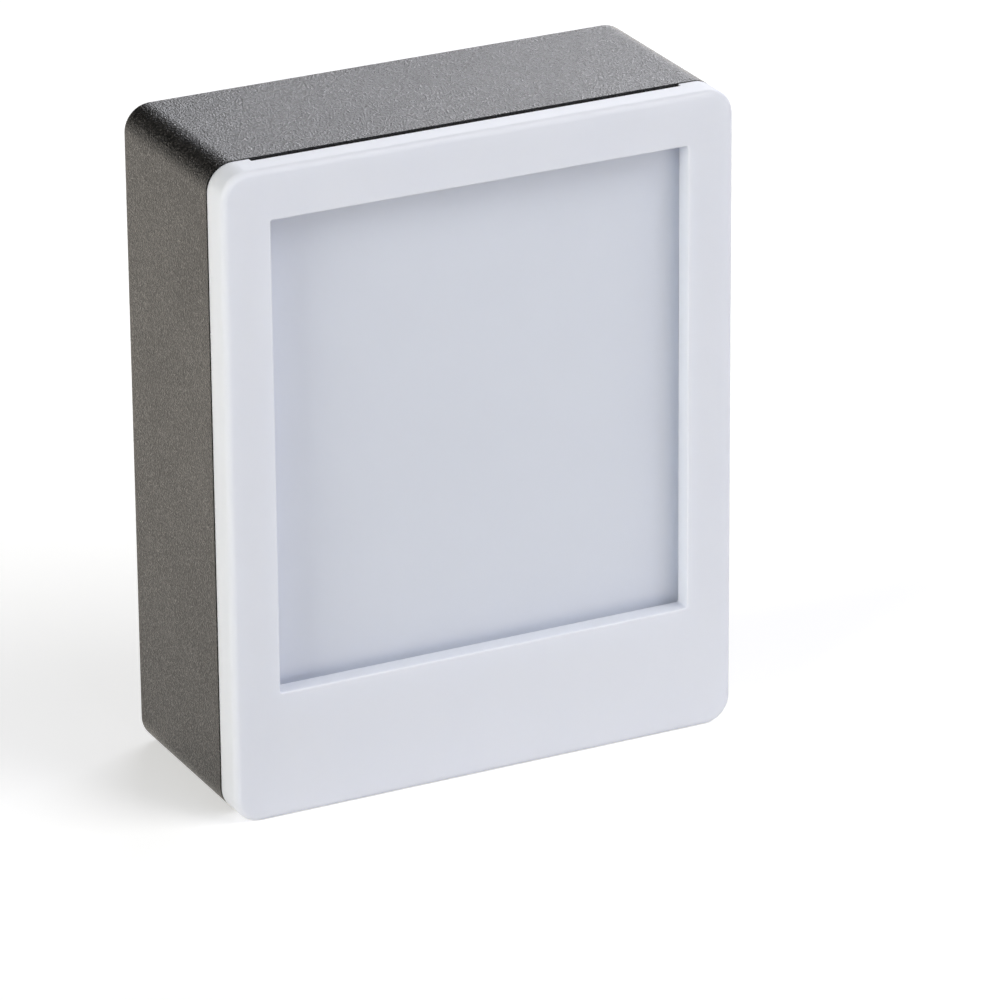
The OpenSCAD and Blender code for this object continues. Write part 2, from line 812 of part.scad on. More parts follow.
module cell_profile() {
    edge_r = 0.7;
    can_l = cell_l - pole_h;
    square([cell_d / 2 - edge_r, can_l]);
    translate([0, edge_r]) square([cell_d / 2, can_l - 2 * edge_r]);
    for (z = [edge_r, can_l - edge_r])
        translate([cell_d / 2 - edge_r, z]) circle(edge_r);
    square([pole_d / 2, cell_l]);
}

module battery(i) {
    foot_z = cell_flipped(i) ? plate_z[0] + cell_l : plate_z[1] - cell_l;
    color("darkseagreen") translate([cell_x(i), -cell_f, foot_z])
        mirror([0, 0, cell_flipped(i) ? 1 : 0]) rotate_extrude() cell_profile();
}

// Spring wire: straight up from its plate, round and round inwards, and straight on to its cell.
spring_turns = 3;
rings_per_turn = 8;
spring_rings = spring_turns * rings_per_turn;

function spring_point(k) =
    let (t = k / spring_rings, r = spring_base_r + (spring_tip_r - spring_base_r) * t)
    [
        r * cos(360 * k / rings_per_turn),
        r * sin(360 * k / rings_per_turn),
        spring_wire_d + (spring_l - 2 * spring_wire_d) * t
    ];

spring_path = concat(
    [[spring_base_r, 0, 0]],
    [for (k = [0:spring_rings]) spring_point(k)],
    [[spring_tip_r, 0, spring_l]]
);

function least_gap(path, skip, d) =
    min([for (i = [0:len(path) - 1], j = [i + skip:len(path) - 1]) norm(path[i] - path[j])]) - d;

module contact_spring(i) {
    echo(spring_least_gap = least_gap(spring_path, rings_per_turn / 2, spring_wire_d));
    color("silver") translate([cell_x(i), -cell_f, cell_flipped(i) ? plate_z[1] : plate_z[0]])
        mirror([0, 0, cell_flipped(i) ? 1 : 0]) tube(spring_path, spring_wire_d, 6, [1, 0, 0]);
}

// A flat plate across one or two cells, lying on the well's lower or upper end.
module contact_plate(first, last, upper) {
    z0 = upper ? plate_z[1] : well_z;
    block(
        [cell_x(first) - contact_w / 2, cell_x(last) + contact_w / 2],
        [cell_f - contact_w / 2, cell_f + contact_w / 2],
        [z0, z0 + contact_t]
    );
}

module solder_tab(end, z0) {
    block(
        [end[0] - tab_w / 2, end[0] + tab_w / 2],
        [end[1] - contact_t / 2, end[1] + contact_t / 2],
        [min(z0, end[2]), max(z0, end[2])]
    );
}

module positive_contact() {
    color("gainsboro") {
        contact_plate(1, 1, true);
        solder_tab(positive_end, plate_z[1]);
    }
}

module negative_contact() {
    color("gainsboro") {
        contact_plate(3, 3, false);
        solder_tab(negative_end, plate_z[0]);
    }
}

module upper_link() {
    color("gainsboro") contact_plate(2, 3, true);
}

module lower_link() {
    color("gainsboro") contact_plate(1, 2, false);
}

// Switch

module switch_frame() {
    cheek_z = switch_body_h / 2;
    color("silver") difference() {
        union() {
            slab(switch_f, switch_body_f) translate([0, switch_z])
                square([switch_frame_w, switch_body_h + 2 * switch_frame_t], center = true);
            for (side = [-1, 1])
                translate([0, 0, switch_z + side * (cheek_z + switch_frame_t / 2)])
                    block(
                        [-switch_cheek_w / 2, switch_cheek_w / 2],
                        [switch_f, switch_body_f + switch_cheek_d],
                        [-switch_frame_t / 2, switch_frame_t / 2]
                    );
        }
        knob_window(switch_f - through, switch_body_f);
        for (x = [-1, 1])
            translate([x * switch_screw_pitch / 2, 0, switch_z]) upright()
                translate([0, 0, switch_f - through])
                    cylinder(d = switch_screw_d + 2 * hole_gap, h = switch_frame_t + 2 * through);
    }
}

module switch_body() {
    color("saddlebrown") difference() {
        slab(switch_body_f, terminal_f) translate([0, switch_z])
            square([switch_body_w, switch_body_h], center = true);
        knob_window(switch_body_f - through, switch_body_f + knob_cavity_d);
    }
}

module switch_knob() {
    grip_d = 0.5;
    color("black") translate([-knob_travel / 2, 0, switch_z]) difference() {
        slab(back_f + knob_drop, switch_body_f + knob_cavity_d - knob_gap)
            square([knob_w, knob_h], center = true);
        for (x = [-knob_w / 4, knob_w / 4])
            translate([x, -back_f - knob_drop, 0]) cube([grip_d, 2 * grip_d, knob_h + through], center = true);
    }
}

module switch_terminals() {
    color("gainsboro")
        for (i = [-1, 0, 1])
            translate([i * terminal_pitch, 0, switch_z])
                slab(terminal_f, terminal_end_f) square([terminal_w, terminal_t], center = true);
}

module switch_screws() {
    color("silver")
        for (x = [-1, 1])
            translate([x * switch_screw_pitch / 2, -switch_body_f, switch_z])
                pan_screw(switch_screw_d, switch_screw_l);
}

// Leads

module battery_switch_lead() {
    color("firebrick") lead(battery_switch_route);
}

module switch_board_lead() {
    color("firebrick") lead(switch_board_route);
}

module battery_board_lead() {
    color("black") lead(battery_board_route);
}

front_bezel();
window_pane();
photo_sheet();
diffuser_panel();
reflector_tray();
led_board();
for (i = [1:led_count])
    led(i);
board_resistors();
board_screws();
housing();
battery_door();
for (i = [1:cell_count])
    battery(i);
for (i = [1:cell_count])
    contact_spring(i);
positive_contact();
negative_contact();
upper_link();
lower_link();
switch_frame();
switch_body();
switch_knob();
switch_terminals();
switch_screws();
battery_switch_lead();
switch_board_lead();
battery_board_lead();
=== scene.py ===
"""Looks of a lighted photo frame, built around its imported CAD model.

Metres, +Z up, the front faces -Y. CAD nodes keep their shape and get procedural materials here.
Moulded signs and solder joints are meshes of their own and ride on the CAD bodies.
"""

import math

import bpy
from mathutils import Matrix, Vector


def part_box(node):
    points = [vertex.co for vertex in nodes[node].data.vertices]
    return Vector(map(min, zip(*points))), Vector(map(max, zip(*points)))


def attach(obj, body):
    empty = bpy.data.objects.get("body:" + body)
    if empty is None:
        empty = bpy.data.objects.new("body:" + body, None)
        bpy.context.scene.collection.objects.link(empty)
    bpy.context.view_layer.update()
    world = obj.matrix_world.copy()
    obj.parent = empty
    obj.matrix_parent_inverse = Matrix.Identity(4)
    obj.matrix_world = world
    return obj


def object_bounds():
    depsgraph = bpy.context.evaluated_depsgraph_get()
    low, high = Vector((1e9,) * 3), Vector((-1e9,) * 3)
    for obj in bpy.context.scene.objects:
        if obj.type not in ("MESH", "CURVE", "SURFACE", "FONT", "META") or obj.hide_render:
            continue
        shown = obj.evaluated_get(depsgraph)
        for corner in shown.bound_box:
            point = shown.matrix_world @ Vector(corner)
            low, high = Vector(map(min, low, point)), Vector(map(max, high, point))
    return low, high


MM = 0.001
BLACK = (0.0, 0.0, 0.0)
WHITE = (1.0, 1.0, 1.0)

# Camera, at the photograph's angle
CAMERA_AZIMUTH = math.radians(-26.53)
CAMERA_ELEVATION = math.radians(22.59)
CAMERA_ROLL = math.radians(-0.45)
CAMERA_DISTANCE = 1.273
CAMERA_TARGET = Vector((13.4, 0, 43.1)) * MM
CAMERA_LENS = 252
CAMERA_SENSOR = 36
CAMERA_CLIP = 10 * MM

# Studio: directions in the sky are parts of a unit vector
SKY_LIGHT = 0.092
SKY_DIM = 0.024
SKY_LOW = (-0.02, 0.03)
SKY_LOW_WHITE = 0.8
SKY_RIGHT = (0.24, 0.47)
SKY_RIGHT_WHITE = 0.89
FLOOR_SIZE = 8
FLOOR_COLOUR = (0.85, 0.85, 0.85)
FLOOR_WARM = (0.95, 0.85, 0.71)
FLOOR_LIFT = 0.45
FLOOR_FAR = (0.6, 2.0)

# Softboxes, each facing its aim; mirrors don't show the left one, which would glare in the housing's top
SOFTBOXES = {
    "front_softbox": dict(
        place=(0.9, -2.6, 1.44), aim=(0, 0, 0.06), size=(2.4, 1.8),
        radiance=1.0, colour=(0.925, 0.94, 1.12), mirrored=True,
    ),
    "top_softbox": dict(
        place=(1.6, -1.5, 2.34), aim=(0, 0, 0.06), size=(2.0, 1.6),
        radiance=4.45, colour=(1.01, 1.0, 0.985), mirrored=True,
    ),
    "left_softbox": dict(
        place=(-2.8, -0.7, 0.94), aim=(0, 0, 0.06), size=(2.0, 1.6),
        radiance=5.55, colour=(1.04, 1.025, 0.94), mirrored=False,
    ),
    "back_softbox": dict(
        place=(1.64, 1.72, 1.18), aim=(0, 0, 0.12), size=(1.9, 1.3),
        radiance=3.9, colour=(0.97, 0.98, 1.05), mirrored=True,
    ),
}

# Numbers in the names of nodes that repeat; one cell stands on its pole
LAMP_NUMBERS = range(1, 7)
CELL_NUMBERS = range(1, 4)
CELL_ON_POLE = 2

# Step of the housing's rim behind the bezel; up to it the black is painted darker, as shade in the slot
RIM_STEP = 0.52 * MM

# Circuit board: copper under the mask, and the bare rim
TRACK_W = 1.4 * MM
RAIL_W = 1.8 * MM
RAIL_INSET = 6 * MM
RAIL_MARGIN = 4 * MM
BOARD_RIM = 0.05 * MM

# Moulded signs: outlines across and up, and the off ring's profile of radius and height, in millimetres
SIGN_HEIGHT = 0.35 * MM
SIGN_CHAMFER = 0.12 * MM
SIGN_SUNK = 0.05 * MM
SIGN_APART = 5.4 * MM
POCKET_FLOOR = 1.2 * MM
SCOOP_DEPTH = 1.0 * MM
ARROW_BELOW_DOOR = 4.6 * MM
ON_BAR = [(-0.2, -1.0), (0.2, -1.0), (0.2, 1.0), (-0.2, 1.0)]
LATCH_ARROW = [(-1.7, -1.2), (1.7, -1.2), (0.0, 1.4)]
OFF_RING = [
    (1.0, -0.05), (1.0, 0.22), (0.92, 0.32), (0.82, 0.35), (0.72, 0.32), (0.64, 0.22), (0.64, -0.05),
]

# Solder: profiles of radius and height, in millimetres
SOLDER_BEAD = [
    (0.2, -0.9), (0.6, -0.8), (0.85, -0.5), (0.95, -0.05),
    (0.92, 0.4), (0.8, 0.85), (0.68, 1.25), (0.3, 1.3),
]
SOLDER_CONE = [
    (1.7, -0.03), (1.66, 0.08), (1.4, 0.28), (1.1, 0.55),
    (0.86, 0.95), (0.72, 1.4), (0.66, 1.8), (0.3, 1.85),
]
TERMINAL_W = 1.0 * MM
FACE_TOLERANCE = 0.01 * MM
RING_SIDES = 48

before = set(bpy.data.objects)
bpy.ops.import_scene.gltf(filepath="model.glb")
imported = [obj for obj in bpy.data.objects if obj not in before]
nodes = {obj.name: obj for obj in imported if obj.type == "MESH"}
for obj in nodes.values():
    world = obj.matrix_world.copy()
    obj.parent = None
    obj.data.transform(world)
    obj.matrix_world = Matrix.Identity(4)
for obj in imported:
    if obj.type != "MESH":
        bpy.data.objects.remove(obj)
cad_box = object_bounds()


# Node trees


class Graph:
    """The node tree of one material or world, with short calls for nodes that many of them share."""

    def __init__(self, owner, output):
        owner.use_nodes = True
        self.owner = owner
        self.tree = owner.node_tree
        self.tree.nodes.clear()
        self.output = self.tree.nodes.new(output)

    def add(self, kind, **settings):
        node = self.tree.nodes.new("ShaderNode" + kind)
        for name, value in settings.items():
            setattr(node, name, value)
        return node

    def feed(self, socket, value):
        """Links a socket to another node's output, or sets it to a number or an opaque colour."""
        if isinstance(value, bpy.types.NodeSocket):
            self.tree.links.new(value, socket)
        elif socket.type == "RGBA":
            socket.default_value = (*value, 1.0)
        else:
            socket.default_value = value

    def place(self):
        """The point on the piece, in metres, in the frame at rest."""
        return self.add("TexCoord").outputs["Object"]

    def axis(self, name):
        """One coordinate of the point on the piece: X, Y or Z."""
        split = self.add("SeparateXYZ")
        self.feed(split.inputs[0], self.place())
        return split.outputs[name]

    def math(self, operation, a, b=0.0):
        node = self.add("Math", operation=operation)
        self.feed(node.inputs[0], a)
        self.feed(node.inputs[1], b)
        return node.outputs[0]

    def apart(self, value, centre):
        """How far a value lies from a centre, on either side."""
        return self.math("ABSOLUTE", self.math("SUBTRACT", value, centre))

    def any(self, *values):
        """The largest of several values."""
        largest = values[0]
        for value in values[1:]:
            largest = self.math("MAXIMUM", largest, value)
        return largest

    def noise(self, size, detail=2.0, roughness=0.5, stretch=(1, 1, 1)):
        """Soft noise with features of about that size in metres, stretched along the axes."""
        mapping = self.add("Mapping")
        self.feed(mapping.inputs["Vector"], self.place())
        mapping.inputs["Scale"].default_value = [1 / (size * s) for s in stretch]
        node = self.add("TexNoise")
        self.feed(node.inputs["Vector"], mapping.outputs[0])
        node.inputs["Scale"].default_value = 1.0
        node.inputs["Detail"].default_value = detail
        node.inputs["Roughness"].default_value = roughness
        return node.outputs["Fac"]

    def ramp(self, factor, stops):
        """Bands of colour with sharp edges. A stop is where a band starts, from 0 to 1, and its colour."""
        node = self.add("ValToRGB")
        node.color_ramp.interpolation = "CONSTANT"
        elements = node.color_ramp.elements
        while len(elements) < len(stops):
            elements.new(1.0)
        for element, (position, colour) in zip(elements, stops):
            element.position = position
            element.color = (*colour, 1.0)
        self.feed(node.inputs[0], factor)
        return node.outputs["Color"]

    def span(self, value, low, high, out_low=0.0, out_high=1.0):
        """Maps a value between low and high to a number between two others, held at the ends."""
        node = self.add("MapRange")
        for name, number in zip(
            ("From Min", "From Max", "To Min", "To Max"), (low, high, out_low, out_high)
        ):
            node.inputs[name].default_value = number
        self.feed(node.inputs["Value"], value)
        return node.outputs["Result"]

    def vary(self, noise, low=0.0, high=1.0):
        """Spreads soft noise, which lies mostly between 0.3 and 0.7, between two numbers."""
        return self.span(noise, 0.3, 0.7, low, high)

    def blend(self, factor, a, b):
        """A colour between two, by a factor from 0 to 1."""
        node = self.add("Mix", data_type="RGBA")
        self.feed(node.inputs["Factor"], factor)
        self.feed(node.inputs[6], a)
        self.feed(node.inputs[7], b)
        return node.outputs[2]

    def bump(self, height, depth, strength=1.0):
        """A normal from a height of 0 to 1 that stands for that depth in metres."""
        node = self.add("Bump")
        node.inputs["Distance"].default_value = depth
        node.inputs["Strength"].default_value = strength
        self.feed(node.inputs["Height"], height)
        return node.outputs["Normal"]

    def principled(self, **inputs):
        """A Principled shader. Names of inputs have underscores for spaces."""
        node = self.add("BsdfPrincipled")
        for name, value in inputs.items():
            self.feed(node.inputs[name.replace("_", " ")], value)
        return node.outputs[0]

    def mix(self, factor, a, b):
        node = self.add("MixShader")
        self.feed(node.inputs[0], factor)
        self.feed(node.inputs[1], a)
        self.feed(node.inputs[2], b)
        return node.outputs[0]

    def rays(self, *kinds):
        """1 for rays of the named kinds, such as Camera or Shadow, and 0 for others."""
        path = self.add("LightPath")
        return self.any(*[path.outputs[f"Is {kind} Ray"] for kind in kinds])

    def done(self, shader):
        self.feed(self.output.inputs["Surface"], shader)
        return self.owner


def material_graph(name):
    return Graph(bpy.data.materials.new(name), "ShaderNodeOutputMaterial")


# Plastics


def textured_black(name):
    """Black moulded plastic with a spark texture: fine grains with pale tips and dark pits between them.

    The rim that the bezel covers has no pale tips. This is partly its smooth inner face and partly painted
    shade in the slot behind the bezel.
    """
    g = material_graph(name)
    grain = g.noise(0.33 * MM, detail=1.5, roughness=0.6)
    drift = g.noise(16 * MM, detail=3.0)
    # Painted shade: the rim in the slot behind the bezel loses its pale tips and stays darker
    face_outside_slot_shade = g.math("GREATER_THAN", g.axis("Y"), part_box("housing")[0].y + RIM_STEP)
    tips = g.math("MULTIPLY", g.span(grain, 0.52, 0.70), face_outside_slot_shade)
    colour = g.blend(tips, (0.005, 0.0046, 0.0042), (0.09, 0.084, 0.08))
    rough = g.math("ADD", g.vary(grain, 0.42, 0.20), g.vary(drift, -0.03, 0.03))
    return g.done(g.principled(
        Base_Color=colour, Roughness=rough, IOR=1.59,
        Normal=g.bump(grain, 0.21 * MM),
    ))


def milky_plastic(name):
    """Translucent milky plastic with a satin skin and very faint flow marks."""
    g = material_graph(name)
    flow = g.noise(18 * MM, detail=3.0, stretch=(1, 1, 2.2))
    skin = g.noise(0.5 * MM)
    colour = g.blend(g.vary(flow), (0.835, 0.86, 0.965), (0.847, 0.871, 0.972))
    return g.done(g.principled(
        Base_Color=colour, Roughness=g.vary(skin, 0.42, 0.50), IOR=1.46,
        Subsurface_Weight=0.65, Subsurface_Radius=(1.0, 1.0, 1.0), Subsurface_Scale=1.6 * MM,
        Normal=g.bump(skin, 0.004 * MM, 0.5),
    ))


def clear_pane(name):
    """Clear glossy pane. Shadow and diffuse rays pass straight through it, to light what is behind it."""
    g = material_graph(name)
    smear = g.noise(9 * MM, detail=4.0)
    glass = g.principled(
        Base_Color=(0.97, 0.98, 0.99), Transmission_Weight=1.0, IOR=1.49,
        Roughness=g.span(smear, 0.35, 0.7, 0.02, 0.06),
    )
    clear = g.add("BsdfTransparent")
    g.feed(clear.inputs["Color"], (0.96, 0.97, 0.98))
    return g.done(g.mix(g.rays("Shadow", "Diffuse"), glass, clear.outputs[0]))


def pale_sheet(name, colour, dark, cloud_size):
    """White film, opal sheet or white moulding: matt, with faint clouds and a very fine grain."""
    g = material_graph(name)
    cloud = g.noise(cloud_size, detail=4.0)
    grain = g.noise(0.15 * MM)
    return g.done(g.principled(
        Base_Color=g.blend(g.vary(cloud), dark, colour), IOR=1.48,
        Roughness=g.vary(grain, 0.45, 0.55),
        Normal=g.bump(grain, 0.002 * MM, 0.4),
    ))


def smooth_plastic(name, colour, worn, rough):
    """Smooth moulded plastic or soft insulation, a little rubbed."""
    g = material_graph(name)
    rub = g.noise(1.6 * MM, detail=4.0)
    skin = g.noise(0.25 * MM)
    return g.done(g.principled(
        Base_Color=g.blend(g.span(rub, 0.4, 0.75), colour, worn), IOR=1.5,
        Roughness=g.vary(rub, rough - 0.06, rough + 0.06),
        Normal=g.bump(skin, 0.008 * MM, 0.6),
    ))


def phenolic(name):
    """Brown laminate with fine fibres along it."""
    g = material_graph(name)
    fibre = g.noise(0.3 * MM, detail=4.0, stretch=(8, 1, 1))
    return g.done(g.principled(
        Base_Color=g.blend(g.vary(fibre), (0.13, 0.055, 0.022), (0.24, 0.11, 0.05)),
        Roughness=g.vary(fibre, 0.48, 0.62), IOR=1.55,
        Normal=g.bump(fibre, 0.01 * MM, 0.6),
    ))


# Metals


def plated(name, colour, rough, grain, stretch):
    """Plated metal with fine drawn lines and faint dull patches."""
    g = material_graph(name)
    lines = g.noise(grain, detail=3.0, stretch=stretch)
    patch = g.noise(4 * MM, detail=3.0)
    dull = [0.82 * c for c in colour]
    return g.done(g.principled(
        Base_Color=g.blend(g.span(patch, 0.4, 0.75), colour, dull), Metallic=1.0,
        Roughness=g.vary(lines, rough - 0.07, rough + 0.07),
        Normal=g.bump(lines, 0.01 * MM, 0.6),
    ))


# Circuit and cells


def circuit_board(name):
    """Green solder mask over copper: a track along each row of lamps, and a rail beside each column."""
    low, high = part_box("led_board")
    lamps = [sum(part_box(f"led_{i}"), Vector()) / 2 for i in LAMP_NUMBERS]
    middle = (low + high) / 2
    half = (high - low) / 2
    g = material_graph(name)
    x = g.axis("X")
    z = g.axis("Z")
    weave = g.noise(0.5 * MM)
    rail_x = half.x - RAIL_INSET
    rows = [g.math("LESS_THAN", g.apart(z, row), TRACK_W / 2) for row in sorted({p.z for p in lamps})]
    between = g.math("LESS_THAN", g.apart(x, middle.x), rail_x)
    rails = g.math("LESS_THAN", g.apart(g.apart(x, middle.x), rail_x), RAIL_W / 2)
    inside = g.math("LESS_THAN", g.apart(z, middle.z), half.z - RAIL_MARGIN)
    tracks = g.any(g.math("MULTIPLY", g.any(*rows), between), g.math("MULTIPLY", rails, inside))
    rim = g.any(
        g.math("GREATER_THAN", g.apart(x, middle.x), half.x - BOARD_RIM),
        g.math("GREATER_THAN", g.apart(z, middle.z), half.z - BOARD_RIM),
    )
    mask = g.blend(g.vary(weave), (0.012, 0.10, 0.04), (0.018, 0.13, 0.052))
    mask = g.blend(tracks, mask, (0.045, 0.22, 0.085))
    return g.done(g.principled(
        Base_Color=g.blend(rim, mask, (0.42, 0.42, 0.24)), IOR=1.55,
        Roughness=g.vary(weave, 0.30, 0.40),
        Normal=g.bump(g.math("ADD", tracks, g.math("MULTIPLY", weave, 0.3)), 0.03 * MM),
    ))


def lamp_case(name):
    """Surface lamp, unlit: yellow phosphor in front, a white case behind it and plated feet."""
    low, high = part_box("led_1")
    g = material_graph(name)
    depth = g.span(g.axis("Y"), low.y, high.y)
    cloud = g.noise(0.6 * MM, detail=3.0)
    phosphor = (0.86, 0.66, 0.12)
    case = (0.82, 0.81, 0.77)
    plate = (0.70, 0.69, 0.66)
    case_from = 0.16
    feet_from = 0.84
    bands = g.ramp(depth, [(0.0, phosphor), (case_from, case), (feet_from, plate)])
    feet = g.ramp(depth, [(0.0, BLACK), (feet_from, WHITE)])
    stained = g.blend(g.span(cloud, 0.4, 0.8, 0.0, 0.35), bands, (0.74, 0.60, 0.28))
    return g.done(g.principled(
        Base_Color=stained, Metallic=feet,
        Roughness=g.vary(cloud, 0.30, 0.45), Normal=g.bump(cloud, 0.01 * MM, 0.5),
    ))


def chip_resistor(name):
    """Black chip with plated ends."""
    low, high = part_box("board_resistors")
    g = material_graph(name)
    along = g.math("DIVIDE", g.apart(g.axis("X"), (low.x + high.x) / 2), (high.x - low.x) / 2)
    cloud = g.noise(0.4 * MM, detail=3.0)
    ends_from = 0.68
    bands = g.ramp(along, [(0.0, (0.016, 0.016, 0.018)), (ends_from, (0.68, 0.67, 0.65))])
    ends = g.ramp(along, [(0.0, BLACK), (ends_from, WHITE)])
    return g.done(g.principled(
        Base_Color=bands, Metallic=ends, Roughness=g.vary(cloud, 0.32, 0.5),
        Normal=g.bump(cloud, 0.01 * MM, 0.5),
    ))


def cell_sleeve(name, node, pole_up):
    """Steel can in a satin sleeve: bare ends, and a thin line and a pale band near the raised pole."""
    low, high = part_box(node)
    g = material_graph(name)
    foot, tip = (low.z, high.z) if pole_up else (high.z, low.z)
    along = g.span(g.axis("Z"), foot, tip)
    scuff = g.noise(1.2 * MM, detail=4.0, stretch=(1, 1, 5))
    steel = (0.66, 0.66, 0.67)
    dark = (0.035, 0.105, 0.085)
    pale = (0.62, 0.64, 0.63)
    sleeve_from, sleeve_to = (0.012, 0.966)
    line_from, line_to = (0.68, 0.70)
    band_from, band_to = (0.715, 0.955)
    bands = g.ramp(along, [
        (0.0, steel), (sleeve_from, dark), (line_from, pale), (line_to, dark),
        (band_from, pale), (band_to, dark), (sleeve_to, steel),
    ])
    bare = g.ramp(along, [(0.0, WHITE), (sleeve_from, BLACK), (sleeve_to, WHITE)])
    scuffed = g.blend(g.span(scuff, 0.55, 0.8, 0.0, 0.3), bands, (0.4, 0.42, 0.41))
    return g.done(g.principled(
        Base_Color=scuffed, Metallic=bare,
        Roughness=g.vary(scuff, 0.26, 0.40), Normal=g.bump(scuff, 0.01 * MM, 0.5),
    ))


def dress(material, *names):
    for name in names:
        slots = nodes[name].data.materials
        slots.clear()
        slots.append(material)


def dress_all():
    """Gives every CAD node its material and returns the black one."""
    black = textured_black("black_plastic")
    dress(black, "housing", "battery_door")
    dress(milky_plastic("milky_plastic"), "front_bezel")
    dress(clear_pane("clear_pane"), "window_pane")
    dress(pale_sheet("photo_film", (0.785, 0.81, 0.885), (0.77, 0.795, 0.87), 22 * MM), "photo_sheet")
    dress(pale_sheet("opal_plastic", (0.80, 0.80, 0.81), (0.77, 0.77, 0.785), 12 * MM), "diffuser_panel")
    dress(pale_sheet("reflector_white", (0.84, 0.84, 0.83), (0.80, 0.80, 0.79), 9 * MM), "reflector_tray")
    dress(circuit_board("circuit_board"), "led_board")
    dress(lamp_case("lamp"), *[f"led_{i}" for i in LAMP_NUMBERS])
    dress(chip_resistor("resistor"), "board_resistors")
    dress(
        plated("screw_steel", (0.58, 0.59, 0.61), 0.32, 0.2 * MM, (1, 4, 1)),
        "board_screws", "switch_screws",
    )
    for i in CELL_NUMBERS:
        dress(cell_sleeve(f"cell_sleeve_{i}", f"battery_{i}", i != CELL_ON_POLE), f"battery_{i}")
    dress(
        plated("spring_wire", (0.70, 0.69, 0.66), 0.24, 0.15 * MM, (1, 1, 3)),
        *[f"contact_spring_{i}" for i in CELL_NUMBERS],
    )
    dress(
        plated("contact_plate", (0.72, 0.71, 0.68), 0.28, 0.12 * MM, (12, 1, 1)),
        "positive_contact", "negative_contact", "upper_link", "lower_link", "switch_terminals",
    )
    dress(plated("switch_metal", (0.62, 0.62, 0.63), 0.34, 0.15 * MM, (10, 1, 1)), "switch_frame")
    dress(phenolic("switch_board"), "switch_body")
    dress(
        smooth_plastic("knob_plastic", (0.012, 0.012, 0.012), (0.022, 0.022, 0.022), 0.34),
        "switch_knob",
    )
    dress(
        smooth_plastic("lead_red", (0.36, 0.016, 0.014), (0.42, 0.03, 0.025), 0.40),
        "battery_switch_lead", "switch_board_lead",
    )
    dress(
        smooth_plastic("lead_black", (0.012, 0.012, 0.013), (0.022, 0.022, 0.023), 0.40),
        "battery_board_lead",
    )
    return black


# Moulded signs and solder joints


def loft(rings, closed=False):
    """Points and faces of a skin over rings, with flat caps or with its last ring joined to the first."""
    count = len(rings[0])
    rows = len(rings) if closed else len(rings) - 1
    faces = []
    for row in range(rows):
        lower = row * count
        upper = (row + 1) % len(rings) * count
        for i in range(count):
            j = (i + 1) % count
            faces.append((lower + i, lower + j, upper + j, upper + i))
    if not closed:
        faces.append(range(count - 1, -1, -1))
        faces.append(range(rows * count, (rows + 1) * count))
    return [point for ring in rings for point in ring], faces


def turned(profile, place, along):
    """Rings of a profile of radius and height in millimetres, turned about a direction from a place."""
    turn = Vector((0, 0, 1)).rotation_difference(along)
    angles = [2 * math.pi * i / RING_SIDES for i in range(RING_SIDES)]
    circle = [(math.cos(angle), math.sin(angle)) for angle in angles]
    return [
        [place + turn @ (MM * Vector((radius * x, radius * y, height))) for x, y in circle]
        for radius, height in profile
    ]


def inset(outline, margin):
    """A convex anticlockwise outline, moved inwards."""
    moved = []
    for i, point in enumerate(outline):
        before = (point - outline[i - 1]).normalized()
        after = (outline[(i + 1) % len(outline)] - point).normalized()
        a = Vector((-before.y, before.x))
        b = Vector((-after.y, after.x))
        moved.append(point + margin * (a + b) / (1 + a.dot(b)))
    return moved


def raised(outline, place):
    """Rings of a sign that stands on a face which looks backwards, with a chamfer round its top.

    Its outline is in millimetres, as seen from behind.
    """
    outline = [Vector(point) * MM for point in outline]
    layers = ((-SIGN_SUNK, 0), (SIGN_HEIGHT - SIGN_CHAMFER, 0), (SIGN_HEIGHT, SIGN_CHAMFER))
    return [
        [place + Vector((-across, height, up)) for across, up in inset(outline, margin)]
        for height, margin in layers
    ]


def add_piece(name, skin, material, smooth):
    """Makes a piece from points and faces, which rides on the case."""
    points, faces = skin
    mesh = bpy.data.meshes.new(name)
    mesh.from_pydata(points, [], faces)
    mesh.materials.append(material)
    if smooth:
        mesh.shade_smooth()
    piece = bpy.data.objects.new(name, mesh)
    bpy.context.scene.collection.objects.link(piece)
    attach(piece, "case")


def make_signs(material):
    """Off ring and on bar beside the switch knob, and an arrow for the latch below the battery door."""
    frame_low, frame_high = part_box("switch_frame")
    switch = (frame_low + frame_high) / 2
    switch.y = frame_high.y + POCKET_FLOOR
    apart = Vector((SIGN_APART, 0, 0))
    door_low, door_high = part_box("battery_door")
    scoop = (door_low + door_high) / 2
    scoop.y = cad_box[1].y - SCOOP_DEPTH
    scoop.z = door_low.z - ARROW_BELOW_DOOR
    ring = loft(turned(OFF_RING, switch - apart, Vector((0, 1, 0))), closed=True)
    add_piece("off_sign", ring, material, smooth=True)
    bar = loft(raised(ON_BAR, switch + apart))
    add_piece("on_sign", bar, material, smooth=False)
    arrow = loft(raised(LATCH_ARROW, scoop))
    add_piece("latch_arrow", arrow, material, smooth=False)


def node_end(name, direction):
    """Middle of the face where a node reaches furthest in a direction."""
    points = [vertex.co for vertex in nodes[name].data.vertices]
    reach = max(point.dot(direction) for point in points)
    last = [point for point in points if point.dot(direction) > reach - FACE_TOLERANCE]
    return sum(last, Vector()) / len(last)


